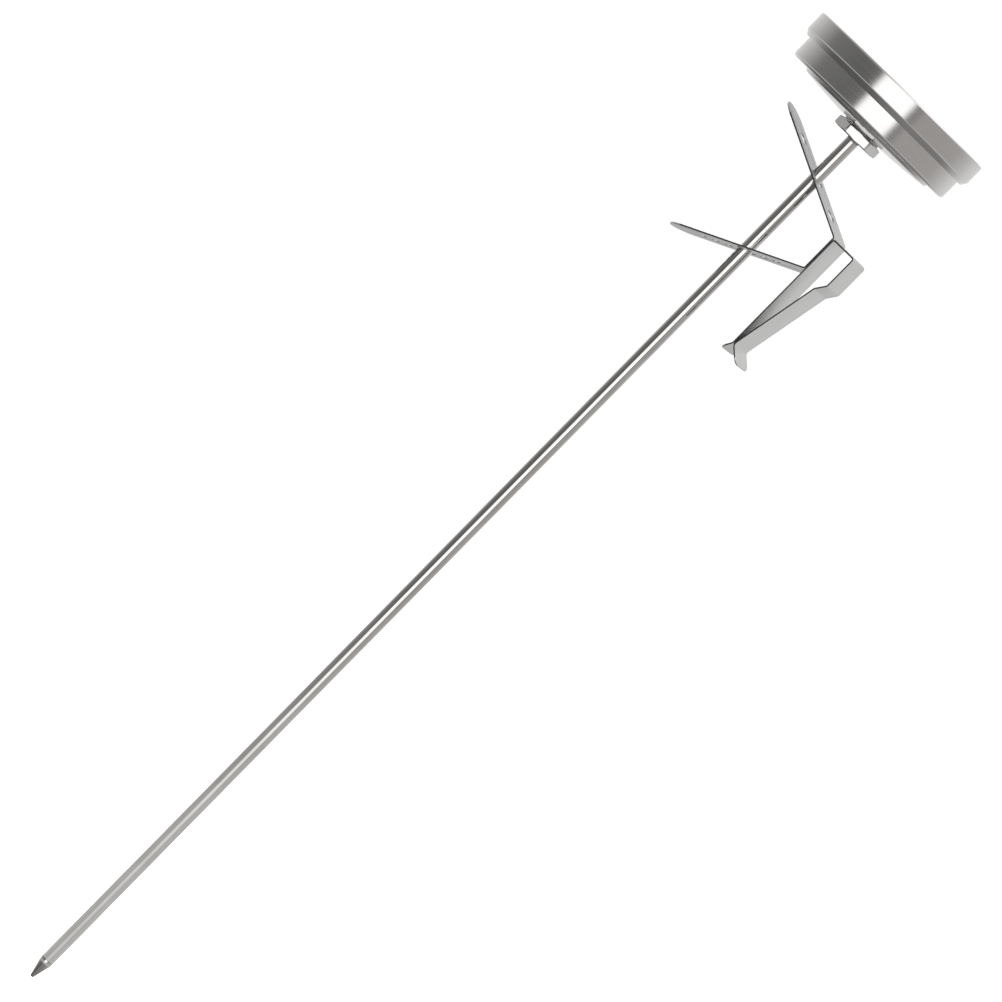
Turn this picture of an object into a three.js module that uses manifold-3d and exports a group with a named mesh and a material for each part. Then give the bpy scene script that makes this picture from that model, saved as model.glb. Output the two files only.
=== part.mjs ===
// Dial thermometer with a long stem and a sprung pan clip. Millimetres, +Z up along the stem.
//
// The origin is the seat of the pan clip on a pot's rim: the middle of the flat underside of its bridge.
// The stem hangs down on the -X side of the rim, and the dial faces up, with 6 o'clock towards +X.
// The clip is one body, with three sprung limbs that hinge on its bends: two squeeze arms and a jaw.
import * as THREE from "three";
import { mergeVertices } from "three/addons/utils/BufferGeometryUtils.js";
import Module from "manifold-3d";

const wasm = await Module();
wasm.setup();

// Roundness: sides of a full circle.
const HEAD_SIDES = 48;
const STEM_SIDES = 24;
const SMALL_SIDES = 16;

// Clearances.
const FACE_GAP = 0.05; // between two pieces that lie against each other
const TURN_GAP = 0.05; // radial, between a piece that turns and its bearing
const BEND_GAP = 0.25; // between a bend and the sprung limb that hinges on it
const HUB_GAP = 0.15; // radial, between the hub and the pieces of the case round it

// Sheet metal of the clip.
const SHEET = 0.4;
const STRIP_WIDTH = 10;
const BEND_RADIUS = 0.6; // of the sheet's middle
const RIM_GAP = 7; // clear space for the pot's rim
const LEG_X = RIM_GAP / 2 + SHEET / 2; // middle of each leg's sheet beside the rim
const CONTACT_Z = -35.7; // where the jaw meets the inner leg
const INNER_LIP = new THREE.Vector2(-1.7, -2.7);
const OUTER_LIP = new THREE.Vector2(4, -3.3);
const JOG_TOP_Z = -9.1;
const JOG_DEPTH = 2;
const JOG_HEIGHT = 2.7;

// Bracket: a back plate with an arm splayed from each end.
const BACK_X = -LEG_X - SHEET - FACE_GAP;
const UPPER_BEND_Z = 0.6;
const LOWER_BEND_Z = -9.9;
const ARM_SPLAY = THREE.MathUtils.degToRad(24);
const ARM_SQUEEZED = THREE.MathUtils.degToRad(16);
const ARM_LENGTH = 39.8; // from the corner of the bend to the tip
const SLOT_RADIUS = 2.05;
const SLOT_END_GAP = 0.12;
const UPPER_HOLE_RADIUS = 1.7;
const UPPER_HOLE_OFFSETS = [-11, 11]; // along the arm, from the stem
const LOWER_HOLE_RADIUS = 1.2;
const LOWER_HOLE_OFFSETS = [-8.8, -5.2, 4.7, 8.5, 12.3];

// Stem.
const STEM_X = -20.9;
const STEM_RADIUS = 1.8;
const STEM_BORE = 1.5;
const STEM_TOP = 25.05;
const TIP_Z = -278.9;
const TIP_RADIUS = 0.45;
const TIP_LENGTH = 5.2;
const TUBE_BOTTOM = TIP_Z + TIP_LENGTH + 1 + FACE_GAP;
const INSERT_RADIUS = STEM_BORE - TURN_GAP; // of every piece that sits inside the tube

// Head. Heights are of the outer faces unless said.
const NUT_BOTTOM = 21.1;
const NUT_TOP = 23.8;
const NUT_FLATS = 12;
const NUT_TURN = THREE.MathUtils.degToRad(-5.7);
const NUT_CHAMFER = 0.3;
const NUT_CORNER = 0.99; // of the sharp corner's radius, after the corners are turned down
const LOCK_NUT_FLATS = 9;
const LOCK_NUT_BOTTOM = 25.75;
const LOCK_NUT_TOP = 27;
const SEAL_RADIUS = 5.6;
const WASHER_RADIUS = 6.6;
const WASHER_THICKNESS = 0.2;
const WASHER_RISE = 0.55;
const DOME_Z = 24.2;
const DOME_FLAT_RADIUS = 7;
const DOME_RADIUS = 21;
const DOME_EDGE_Z = 25.3;
const REAR_Z = 26;
const CASE_RADIUS = 25.9;
const CASE_WALL = 0.7;
const FLANGE_RADIUS = 27;
const FLANGE_Z = 33.95;
const BEZEL_RADIUS = 27.9;
const BEZEL_WALL = 0.8;
const BEZEL_LIP_Z = 31.8;
const BEZEL_OPENING = 22.7;
const FRONT_Z = 38.6;
const DIAL_TOP = 31.2;
const DIAL_THICKNESS = 0.6;
const DIAL_RADIUS = 24.9;
const DIAL_SEEN_RADIUS = 20;
const LENS_BOTTOM = 35.35;
const LENS_TOP = 37.35;
const LENS_RADIUS = 25.6;

// Stem hub, and what clamps the case to it.
const HUB_RADIUS = 3.2;
const HUB_BOTTOM = 21.3;
const HUB_TOP = 27.9;

// Movement: the bimetal helix turns the shaft, and the shaft turns the pointer.
const SHAFT_RADIUS = 0.45;
const SHAFT_BOTTOM = -236;
const SHAFT_TOP = 33.3;
const HELIX_RADIUS = 1.1;
const HELIX_STRIP = [1.6, 0.12]; // width along the stem, thickness
const HELIX_PITCH = 2.4;
const HELIX_TURNS = 12;
const HELIX_BOTTOM = -268;
const ANCHOR_LENGTH = 2.8;
const BUSH_LENGTH = 3;
const BUSH_RADIUS = 1.2;
const BUSH_FOOT = 0.4; // of a bush on the shaft, above the shaft's end or the dial
const POINTER_Z = 33;
const POINTER_THICKNESS = 0.3;
const POINTER_TIP = 18.4;
const POINTER_TAIL = 9.6;
const NEEDLE_NECK = 11; // from here on the needle is thin
const NECK_HALF_WIDTH = 0.33;
const TIP_HALF_WIDTH = 0.16;
const CAP_RADIUS = 1.65;

const steel = metal(0xb9b6b0, 0.35);
const sheetSteel = metal(0xc6c5c2, 0.45);
const turnedSteel = metal(0xc9c4bd, 0.3);
const springSteel = metal(0x8d8f92, 0.4);
const brass = metal(0xb99b57, 0.4);
const dialWhite = paint(0xe9e9ea, 0.5);
const pointerRed = paint(0xc81e2d, 0.45);
const capCream = paint(0xe1debe, 0.5);
const ringGrey = paint(0xd2d2d4, 0.7);
const rubber = paint(0x1d1d1e, 0.85);
const glass = paint(0xf4f8f8, 0.05);

function metal(color, roughness) {
  return new THREE.MeshStandardMaterial({ color, roughness, metalness: 1 });
}

function paint(color, roughness) {
  return new THREE.MeshStandardMaterial({ color, roughness, metalness: 0 });
}

function piece(group, name, geometry, material) {
  const mesh = new THREE.Mesh(geometry, material);
  mesh.name = name;
  group.add(mesh);
  return mesh;
}

// A solid turned round the Z axis. The profile is a list of [radius, z], anticlockwise with the
// radius to the right. It starts and ends on the axis, or it is closed here on its first point.
function turned(profile, sides) {
  const onAxis = profile[0][0] === 0;
  const points = (onAxis ? profile : [...profile, profile[0]]).map(([r, z]) => new THREE.Vector2(r, z));
  const geometry = new THREE.LatheGeometry(points, sides);
  geometry.rotateX(Math.PI / 2);
  return geometry;
}

function ring(innerRadius, outerRadius, bottom, top, sides) {
  const profile = [
    [innerRadius, bottom],
    [outerRadius, bottom],
    [outerRadius, top],
    [innerRadius, top],
  ];
  return turned(profile, sides);
}

function disc(radius, bottom, top, sides) {
  const profile = [
    [0, bottom],
    [radius, bottom],
    [radius, top],
    [0, top],
  ];
  return turned(profile, sides);
}

// Points of an arc in the XZ plane, with the angles in degrees from +X towards +Z.
function arc(centre, radius, fromDegrees, toDegrees, steps = 4) {
  return Array.from({ length: steps + 1 }, (_, i) => {
    const angle = THREE.MathUtils.degToRad(fromDegrees + ((toDegrees - fromDegrees) * i) / steps);
    return new THREE.Vector2(centre.x + radius * Math.cos(angle), centre.y + radius * Math.sin(angle));
  });
}

// One side of a bent sheet: its centre line moved sideways by distance, with mitred corners.
function offsetLine(line, distance) {
  return line.map((point, i) => {
    const before = line[Math.max(i - 1, 0)];
    const after = line[Math.min(i + 1, line.length - 1)];
    const into = (i ? point.clone().sub(before) : after.clone().sub(point)).normalize();
    const out = (i < line.length - 1 ? after.clone().sub(point) : point.clone().sub(before)).normalize();
    const side = new THREE.Vector2(-into.y - out.y, into.x + out.x).normalize();
    const mitre = side.dot(new THREE.Vector2(-into.y, into.x));
    return point.clone().addScaledVector(side, distance / mitre);
  });
}

// A strip of sheet bent along a centre line in the XZ plane, STRIP_WIDTH wide about Y = 0.
function bentStrip(line) {
  const outline = [...offsetLine(line, SHEET / 2), ...offsetLine(line, -SHEET / 2).reverse()];
  const geometry = new THREE.ExtrudeGeometry(new THREE.Shape(outline), {
    depth: STRIP_WIDTH,
    bevelEnabled: false,
  });
  geometry.rotateX(Math.PI / 2);
  geometry.translate(0, STRIP_WIDTH / 2, 0);
  return geometry;
}

// Centres of the bracket's two bends and of the jaw's, as [x, z]: the limbs hinge on them.
const bendSetback = BEND_RADIUS * Math.tan((Math.PI / 2 - ARM_SPLAY) / 2);
const upperBend = new THREE.Vector2(BACK_X - BEND_RADIUS, UPPER_BEND_Z - bendSetback);
const lowerBend = new THREE.Vector2(BACK_X - BEND_RADIUS, LOWER_BEND_Z + bendSetback);
const innerBend = new THREE.Vector2(-LEG_X + BEND_RADIUS, SHEET / 2 - BEND_RADIUS);
const jawBend = new THREE.Vector2(LEG_X - BEND_RADIUS, SHEET / 2 - BEND_RADIUS);

function bracketBack() {
  const turn = 90 - THREE.MathUtils.radToDeg(ARM_SPLAY);
  const line = [...arc(lowerBend, BEND_RADIUS, -turn, 0), ...arc(upperBend, BEND_RADIUS, 0, turn)];
  return bentStrip(line);
}

// The inner leg with its curled lip, the bridge over the rim, and the start of the jaw's bend.
function panClip() {
  const contact = new THREE.Vector2(-LEG_X, CONTACT_Z);
  const line = [
    contact.clone().add(INNER_LIP),
    contact,
    ...arc(innerBend, BEND_RADIUS, 180, 90),
    ...arc(jawBend, BEND_RADIUS, 90, 25, 3),
  ];
  return bentStrip(line);
}

// The outer leg: parallel to the rim, a jog inwards, a slant to the inner leg and a flared lip.
function panClipJaw() {
  const contact = new THREE.Vector2(-RIM_GAP / 2 + FACE_GAP + SHEET / 2, CONTACT_Z);
  const line = [
    new THREE.Vector2(LEG_X, jawBend.y),
    new THREE.Vector2(LEG_X, JOG_TOP_Z),
    new THREE.Vector2(LEG_X - JOG_DEPTH, JOG_TOP_Z - JOG_HEIGHT),
    contact,
    contact.clone().add(OUTER_LIP),
  ];
  return bentStrip(line);
}

// How far along the arm, from its bend's centre, the stem's axis crosses it at a given splay.
function stemAlongArm(splay) {
  return (upperBend.x - STEM_X + BEND_RADIUS * Math.sin(splay)) / Math.cos(splay);
}

// Half the length of the stem's slanted section through the arm's sheet.
function stemHalfSection(splay) {
  return STEM_RADIUS / Math.cos(splay) + (SHEET / 2) * Math.tan(splay);
}

function roundHole(x, radius) {
  return new THREE.Path().absarc(x, 0, radius, 0, 2 * Math.PI, true);
}

// The slot lets the arm turn about its bend while the stem stays where it is.
function stemSlot() {
  const splayedEnd = stemAlongArm(ARM_SPLAY) + stemHalfSection(ARM_SPLAY) + SLOT_END_GAP;
  const squeezedEnd = stemAlongArm(ARM_SQUEEZED) - stemHalfSection(ARM_SQUEEZED) - SLOT_END_GAP;
  const slot = new THREE.Path();
  slot.absarc(-squeezedEnd - SLOT_RADIUS, 0, SLOT_RADIUS, Math.PI / 2, -Math.PI / 2, true);
  slot.absarc(-splayedEnd + SLOT_RADIUS, 0, SLOT_RADIUS, -Math.PI / 2, -1.5 * Math.PI, true);
  return slot;
}

// An arm lies along -X from its bend's centre, and its sheet's middle is BEND_RADIUS off that centre.
function squeezeArm(holeOffsets, holeRadius) {
  const tip = -(ARM_LENGTH - bendSetback);
  const half = STRIP_WIDTH / 2;
  const outline = new THREE.Shape();
  outline.moveTo(-BEND_GAP, half);
  outline.lineTo(tip + half, half);
  outline.absarc(tip + half, 0, half, Math.PI / 2, 1.5 * Math.PI, false);
  outline.lineTo(-BEND_GAP, -half);
  outline.holes.push(stemSlot());
  const stem = stemAlongArm(ARM_SPLAY);
  holeOffsets.forEach((offset) => outline.holes.push(roundHole(-stem - offset, holeRadius)));
  return new THREE.ExtrudeGeometry(outline, { depth: SHEET, bevelEnabled: false, curveSegments: 8 });
}

function buildClip() {
  const clip = new THREE.Group();
  piece(clip, "bracket_back", bracketBack(), sheetSteel);
  piece(clip, "pan_clip", panClip(), sheetSteel);
  piece(clip, "pan_clip_jaw", panClipJaw(), sheetSteel);
  const arms = [
    ["upper_arm", upperBend, 1, UPPER_HOLE_OFFSETS, UPPER_HOLE_RADIUS],
    ["lower_arm", lowerBend, -1, LOWER_HOLE_OFFSETS, LOWER_HOLE_RADIUS],
  ];
  for (const [name, bend, up, holeOffsets, holeRadius] of arms) {
    const hinge = new THREE.Group();
    hinge.position.set(bend.x, 0, bend.y);
    hinge.rotation.y = up * ARM_SPLAY;
    const arm = piece(hinge, name, squeezeArm(holeOffsets, holeRadius), sheetSteel);
    arm.position.z = up * BEND_RADIUS - SHEET / 2;
    clip.add(hinge);
  }
  return clip;
}

// The pointed plug that closes the stem, with a spigot inside the tube.
function stemPoint() {
  const shoulder = TUBE_BOTTOM - FACE_GAP;
  const profile = [
    [0, TIP_Z],
    [TIP_RADIUS, TIP_Z],
    [STEM_RADIUS, TIP_Z + TIP_LENGTH],
    [STEM_RADIUS, shoulder],
    [INSERT_RADIUS, shoulder],
    [INSERT_RADIUS, shoulder + 1.7],
    [0, shoulder + 1.7],
  ];
  return turned(profile, STEM_SIDES);
}

// The bush brazed on the stem's top: a wide bore for the tube, and a narrow one for the top guide.
function stemHub() {
  const seat = STEM_TOP + FACE_GAP;
  const profile = [
    [STEM_RADIUS + FACE_GAP, HUB_BOTTOM],
    [HUB_RADIUS, HUB_BOTTOM],
    [HUB_RADIUS, HUB_TOP],
    [1, HUB_TOP],
    [1, seat],
    [STEM_RADIUS + FACE_GAP, seat],
  ];
  return turned(profile, STEM_SIDES);
}

function flangedGuide() {
  const profile = [
    [SHAFT_RADIUS + TURN_GAP, HUB_TOP - 2.3],
    [0.95, HUB_TOP - 2.3],
    [0.95, HUB_TOP + FACE_GAP],
    [1.6, HUB_TOP + FACE_GAP],
    [1.6, HUB_TOP + 0.4],
    [SHAFT_RADIUS + TURN_GAP, HUB_TOP + 0.4],
  ];
  return turned(profile, SMALL_SIDES);
}

// The helix as a flat strip that is wound round the axis.
function bimetalHelix() {
  const [width, thickness] = HELIX_STRIP;
  const length = 2 * Math.PI * HELIX_RADIUS * HELIX_TURNS;
  const strip = new THREE.BoxGeometry(length, width, thickness, HELIX_TURNS * 10, 1, 1);
  const position = strip.getAttribute("position");
  for (let i = 0; i < position.count; i += 1) {
    const angle = (position.getX(i) + length / 2) / HELIX_RADIUS;
    const radius = HELIX_RADIUS + position.getZ(i);
    const rise = (HELIX_PITCH * angle) / (2 * Math.PI) + width / 2;
    const z = HELIX_BOTTOM + rise + position.getY(i);
    position.setXYZ(i, radius * Math.cos(angle), radius * Math.sin(angle), z);
  }
  return strip;
}

function solidOf(geometry) {
  const bare = geometry.clone();
  bare.deleteAttribute("normal");
  bare.deleteAttribute("uv");
  const merged = mergeVertices(bare);
  const mesh = new wasm.Mesh({
    numProp: 3,
    vertProperties: merged.attributes.position.array,
    triVerts: new Uint32Array(merged.index.array),
  });
  return new wasm.Manifold(mesh);
}

function geometryOf(solid) {
  const mesh = solid.getMesh();
  const geometry = new THREE.BufferGeometry();
  geometry.setAttribute("position", new THREE.BufferAttribute(mesh.vertProperties, 3));
  geometry.setIndex(new THREE.BufferAttribute(mesh.triVerts, 1));
  geometry.computeVertexNormals();
  return geometry;
}

// A hexagonal nut round the hub, with its corners turned down by a chamfer at both ends.
function hexNut(acrossFlats, bottom, top) {
  const corner = acrossFlats / Math.sqrt(3);
  const hexagon = new THREE.Shape();
  for (let i = 0; i < 6; i += 1) {
    const angle = (i * Math.PI) / 3 + Math.PI / 6;
    hexagon[i ? "lineTo" : "moveTo"](corner * Math.cos(angle), corner * Math.sin(angle));
  }
  hexagon.holes.push(roundHole(0, HUB_RADIUS + FACE_GAP));
  const height = top - bottom;
  const prism = new THREE.ExtrudeGeometry(hexagon, {
    depth: height,
    bevelEnabled: false,
    curveSegments: 12,
  });
  prism.translate(0, 0, bottom);
  const blank = [
    [0, bottom],
    [acrossFlats / 2, bottom],
    [corner * NUT_CORNER, bottom + NUT_CHAMFER],
    [corner * NUT_CORNER, top - NUT_CHAMFER],
    [acrossFlats / 2, top],
    [0, top],
  ];
  return geometryOf(solidOf(prism).intersect(solidOf(turned(blank, HEAD_SIDES))));
}

function buildStem() {
  const stem = new THREE.Group();
  piece(stem, "stem_point", stemPoint(), steel);
  piece(stem, "stem_tube", ring(STEM_BORE, STEM_RADIUS, TUBE_BOTTOM, STEM_TOP, STEM_SIDES), steel);
  piece(stem, "stem_hub", stemHub(), steel);
  const anchor = disc(INSERT_RADIUS, HELIX_BOTTOM - ANCHOR_LENGTH, HELIX_BOTTOM - FACE_GAP, STEM_SIDES);
  piece(stem, "helix_anchor", anchor, brass);
  piece(stem, "bimetal_helix", bimetalHelix(), springSteel);
  const guides = [
    ["lower_guide_bush", -225],
    ["middle_guide_bush", -100],
  ];
  for (const [name, bottom] of guides) {
    const bush = ring(SHAFT_RADIUS + TURN_GAP, INSERT_RADIUS, bottom, bottom + BUSH_LENGTH, STEM_SIDES);
    piece(stem, name, bush, brass);
  }
  piece(stem, "upper_guide_bush", flangedGuide(), brass);
  const nut = piece(stem, "hex_nut", hexNut(NUT_FLATS, NUT_BOTTOM, NUT_TOP), turnedSteel);
  nut.rotation.z = NUT_TURN;
  piece(stem, "lock_nut", hexNut(LOCK_NUT_FLATS, LOCK_NUT_BOTTOM, LOCK_NUT_TOP), steel);
  return stem;
}

// The case: a domed back with a step round it, a straight wall, and a flange that the bezel grips.
function caseShell() {
  const domeSteps = 4;
  const dome = Array.from({ length: domeSteps + 1 }, (_, i) => {
    const r = DOME_FLAT_RADIUS + ((DOME_RADIUS - DOME_FLAT_RADIUS) * i) / domeSteps;
    const share = (r ** 2 - DOME_FLAT_RADIUS ** 2) / (DOME_RADIUS ** 2 - DOME_FLAT_RADIUS ** 2);
    return [r, DOME_Z + (DOME_EDGE_Z - DOME_Z) * share];
  });
  const hole = HUB_RADIUS + HUB_GAP;
  const outside = [
    [hole, DOME_Z],
    ...dome,
    [DOME_RADIUS + 0.3, REAR_Z],
    [CASE_RADIUS - 0.6, REAR_Z],
    [CASE_RADIUS - 0.18, REAR_Z + 0.18],
    [CASE_RADIUS, REAR_Z + 0.6],
    [CASE_RADIUS, FLANGE_Z],
    [FLANGE_RADIUS, FLANGE_Z],
    [FLANGE_RADIUS, FLANGE_Z + CASE_WALL],
  ];
  const inside = [
    [CASE_RADIUS - CASE_WALL, FLANGE_Z + CASE_WALL],
    [CASE_RADIUS - CASE_WALL, REAR_Z + CASE_WALL],
    [DOME_RADIUS - 0.3, REAR_Z + CASE_WALL],
    ...dome
      .slice(0, -1)
      .reverse()
      .map(([r, z]) => [r, z + CASE_WALL]),
    [hole, DOME_Z + CASE_WALL],
  ];
  return turned([...outside, ...inside], HEAD_SIDES);
}

// The bezel: a flat front ring, a straight side, and a lip rolled in under the case's flange.
function bezelRing() {
  const inside = BEZEL_RADIUS - BEZEL_WALL - TURN_GAP;
  const profile = [
    [CASE_RADIUS + TURN_GAP, BEZEL_LIP_Z],
    [CASE_RADIUS + 0.6, BEZEL_LIP_Z + 0.05],
    [BEZEL_RADIUS - 0.6, BEZEL_LIP_Z + 0.75],
    [BEZEL_RADIUS - 0.15, BEZEL_LIP_Z + 1.45],
    [BEZEL_RADIUS, BEZEL_LIP_Z + 2.1],
    [BEZEL_RADIUS, FRONT_Z - 0.4],
    [BEZEL_RADIUS - 0.4, FRONT_Z],
    [BEZEL_OPENING + 0.3, FRONT_Z],
    [BEZEL_OPENING, FRONT_Z - 0.3],
    [BEZEL_OPENING, FRONT_Z - BEZEL_WALL],
    [inside, FRONT_Z - BEZEL_WALL],
    [inside, FLANGE_Z - 0.05],
    [CASE_RADIUS + TURN_GAP, BEZEL_LIP_Z + 0.8],
  ];
  return turned(profile, HEAD_SIDES);
}

// The gasket wraps the lens's edge: a collar on the flange, with a lip between lens and bezel.
function lensGasket() {
  const outer = FLANGE_RADIUS - 0.1;
  const top = FRONT_Z - BEZEL_WALL - FACE_GAP;
  const profile = [
    [LENS_RADIUS + FACE_GAP, FLANGE_Z + CASE_WALL + FACE_GAP],
    [outer, FLANGE_Z + CASE_WALL + FACE_GAP],
    [outer, top],
    [BEZEL_OPENING + 0.3, top],
    [BEZEL_OPENING + 0.3, LENS_TOP + FACE_GAP],
    [LENS_RADIUS + FACE_GAP, LENS_TOP + FACE_GAP],
  ];
  return turned(profile, HEAD_SIDES);
}

// The dial is a shallow tray turned over: its skirt stands on the case's floor.
function dialPlate() {
  const underside = DIAL_TOP - DIAL_THICKNESS;
  const foot = REAR_Z + CASE_WALL + FACE_GAP;
  const profile = [
    [1.3, underside],
    [DIAL_RADIUS - DIAL_THICKNESS, underside],
    [DIAL_RADIUS - DIAL_THICKNESS, foot],
    [DIAL_RADIUS, foot],
    [DIAL_RADIUS, DIAL_TOP],
    [1.3, DIAL_TOP],
  ];
  return turned(profile, HEAD_SIDES);
}

// The spacer holds the lens off the dial, and slopes outwards from the dial to the bezel.
function dialSpacer() {
  const outer = CASE_RADIUS - CASE_WALL - 0.1;
  const profile = [
    [DIAL_SEEN_RADIUS, DIAL_TOP + FACE_GAP],
    [outer, DIAL_TOP + FACE_GAP],
    [outer, LENS_BOTTOM - FACE_GAP],
    [BEZEL_OPENING, LENS_BOTTOM - FACE_GAP],
  ];
  return turned(profile, HEAD_SIDES);
}

// A coned spring washer: its rim presses on the case's floor, and its middle on the lock nut.
function springWasher() {
  const floor = DOME_Z + CASE_WALL + FACE_GAP;
  const profile = [
    [HUB_RADIUS + HUB_GAP, floor + WASHER_RISE],
    [WASHER_RADIUS, floor],
    [WASHER_RADIUS, floor + WASHER_THICKNESS],
    [HUB_RADIUS + HUB_GAP, floor + WASHER_RISE + WASHER_THICKNESS],
  ];
  return turned(profile, STEM_SIDES);
}

function buildCase() {
  const group = new THREE.Group();
  const seal = ring(HUB_RADIUS + HUB_GAP, SEAL_RADIUS, NUT_TOP + FACE_GAP, DOME_Z - FACE_GAP, STEM_SIDES);
  piece(group, "back_seal", seal, rubber);
  piece(group, "case_shell", caseShell(), turnedSteel);
  piece(group, "spring_washer", springWasher(), springSteel);
  piece(group, "dial_plate", dialPlate(), dialWhite);
  piece(group, "dial_spacer_ring", dialSpacer(), ringGrey);
  piece(group, "lens", disc(LENS_RADIUS, LENS_BOTTOM, LENS_TOP, HEAD_SIDES), glass);
  piece(group, "lens_gasket", lensGasket(), rubber);
  piece(group, "bezel_ring", bezelRing(), turnedSteel);
  return group;
}

// The pointer lies along +X: a blade that narrows to a thin needle, and a tail that widens to its end.
function pointerBlade() {
  const outline = new THREE.Shape();
  outline.moveTo(-POINTER_TAIL, -1.5);
  outline.lineTo(CAP_RADIUS, -0.9);
  outline.lineTo(NEEDLE_NECK, -NECK_HALF_WIDTH);
  outline.lineTo(POINTER_TIP, -TIP_HALF_WIDTH);
  outline.lineTo(POINTER_TIP, TIP_HALF_WIDTH);
  outline.lineTo(NEEDLE_NECK, NECK_HALF_WIDTH);
  outline.lineTo(CAP_RADIUS, 0.9);
  outline.lineTo(-POINTER_TAIL, 1.5);
  outline.holes.push(roundHole(0, SHAFT_RADIUS + FACE_GAP));
  const blade = { depth: POINTER_THICKNESS, bevelEnabled: false, curveSegments: 8 };
  return new THREE.ExtrudeGeometry(outline, blade);
}

function pointerCap() {
  const bottom = POINTER_Z + POINTER_THICKNESS + FACE_GAP;
  const profile = [
    [0, bottom],
    [CAP_RADIUS, bottom],
    [CAP_RADIUS, bottom + 0.45],
    [CAP_RADIUS - 0.3, bottom + 0.7],
    [0, bottom + 0.75],
  ];
  return turned(profile, STEM_SIDES);
}

function buildMovement() {
  const group = new THREE.Group();
  const bore = SHAFT_RADIUS + FACE_GAP;
  piece(group, "pointer_shaft", disc(SHAFT_RADIUS, SHAFT_BOTTOM, SHAFT_TOP, SMALL_SIDES), steel);
  const collarBottom = SHAFT_BOTTOM + BUSH_FOOT;
  const collar = ring(bore, BUSH_RADIUS, collarBottom, collarBottom + BUSH_LENGTH, SMALL_SIDES);
  piece(group, "helix_collar", collar, brass);
  const pointerBush = ring(bore, BUSH_RADIUS, DIAL_TOP + BUSH_FOOT, POINTER_Z - FACE_GAP, SMALL_SIDES);
  piece(group, "pointer_bush", pointerBush, brass);
  const pointer = piece(group, "pointer", pointerBlade(), pointerRed);
  pointer.position.z = POINTER_Z;
  pointer.rotation.z = Math.PI / 2;
  piece(group, "pointer_cap", pointerCap(), capCream);
  return group;
}

const thermometer = new THREE.Group();
thermometer.add(buildClip());
const onStemAxis = new THREE.Group();
onStemAxis.position.x = STEM_X;
onStemAxis.add(buildStem(), buildCase(), buildMovement());
thermometer.add(onStemAxis);

export default thermometer;
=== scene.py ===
import math

import bmesh
import bpy
import numpy as np
from mathutils import Matrix, Vector


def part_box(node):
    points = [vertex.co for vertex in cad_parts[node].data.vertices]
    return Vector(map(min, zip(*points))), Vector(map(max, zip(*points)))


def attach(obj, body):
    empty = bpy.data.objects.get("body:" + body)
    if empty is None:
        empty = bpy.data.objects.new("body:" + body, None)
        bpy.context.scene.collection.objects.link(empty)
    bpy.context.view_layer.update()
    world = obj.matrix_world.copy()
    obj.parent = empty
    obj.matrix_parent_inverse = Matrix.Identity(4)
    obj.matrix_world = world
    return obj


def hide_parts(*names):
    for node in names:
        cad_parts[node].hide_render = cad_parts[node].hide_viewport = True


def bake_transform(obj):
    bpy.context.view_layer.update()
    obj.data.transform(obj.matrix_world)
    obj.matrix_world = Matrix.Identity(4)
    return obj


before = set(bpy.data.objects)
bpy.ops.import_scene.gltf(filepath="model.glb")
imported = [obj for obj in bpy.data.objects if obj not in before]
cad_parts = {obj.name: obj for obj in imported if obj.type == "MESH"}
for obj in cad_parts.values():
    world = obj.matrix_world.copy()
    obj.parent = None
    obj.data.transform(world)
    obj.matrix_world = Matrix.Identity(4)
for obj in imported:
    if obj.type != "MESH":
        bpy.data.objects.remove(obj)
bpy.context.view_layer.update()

# The script works in millimetres, in the row frame, and turns them to metres as it makes each mesh.
MM = 0.001


def box_mm(node):
    low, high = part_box(node)
    return low / MM, high / MM


# ---------------------------------------------------------------- sizes from the frame
stem_low, stem_high = box_mm("stem_tube")
STEM_X = (stem_low.x + stem_high.x) / 2
STEM_RADIUS = (stem_high.x - stem_low.x) / 2
TIP_Z = box_mm("stem_point")[0].z
GAP = 0.05  # between neighbouring solids
POINT_TOP = stem_low.z - GAP
case_low, case_high = box_mm("case_shell")
bezel_low, bezel_high = box_mm("bezel_ring")
BEZEL_RADIUS = (bezel_high.x - bezel_low.x) / 2
FRONT_Z = bezel_high.z
nut_low, nut_high = box_mm("hex_nut")
dial_low, dial_high = box_mm("dial_plate")
DIAL_RADIUS = (dial_high.x - dial_low.x) / 2
DIAL_TOP = dial_high.z
lens_low, lens_high = box_mm("lens")
LENS_RADIUS = (lens_high.x - lens_low.x) / 2
spacer_low, spacer_high = box_mm("dial_spacer_ring")
gasket_low, gasket_high = box_mm("lens_gasket")
hub_low, hub_high = box_mm("stem_hub")
pointer_low, pointer_high = box_mm("pointer")
cap_low, cap_high = box_mm("pointer_cap")

# ---------------------------------------------------------------- sizes the boxes don't give
TUBE_BORE_RADIUS = 1.5
SPIGOT_RADIUS = 1.45  # of the point's stub, inside the tube
SPIGOT_LENGTH = 1.7
POINT_LENGTH = 5.2
POINT_END_RADIUS = 0.45
HUB_RADIUS = 3.2
HUB_BORE_RADIUS = 1
CASE_RADIUS = 25.9
CASE_WALL = 0.7
CASE_HOLE_RADIUS = 3.35
FLANGE_RADIUS = 27
DOME_RADIUS = 21
DOME_EDGE_RISE = 1.1
REAR_RISE = 1.8  # the rear plane's height over the dome's middle
BEZEL_OPENING = 22.7
BEZEL_WALL = 0.8
DIAL_SEEN_RADIUS = 20
DIAL_WALL = 0.6
DIAL_HOLE_RADIUS = 1.3
SPACER_RADIUS = 25.1
GASKET_RADIUS = 26.9
NUT_FLATS = 12
NUT_BORE_RADIUS = 3.25
NUT_CORNER = 0.985  # the softened corners' reach, as a share of sharp ones'
NUT_TURN = math.radians(-5.7)

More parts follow.
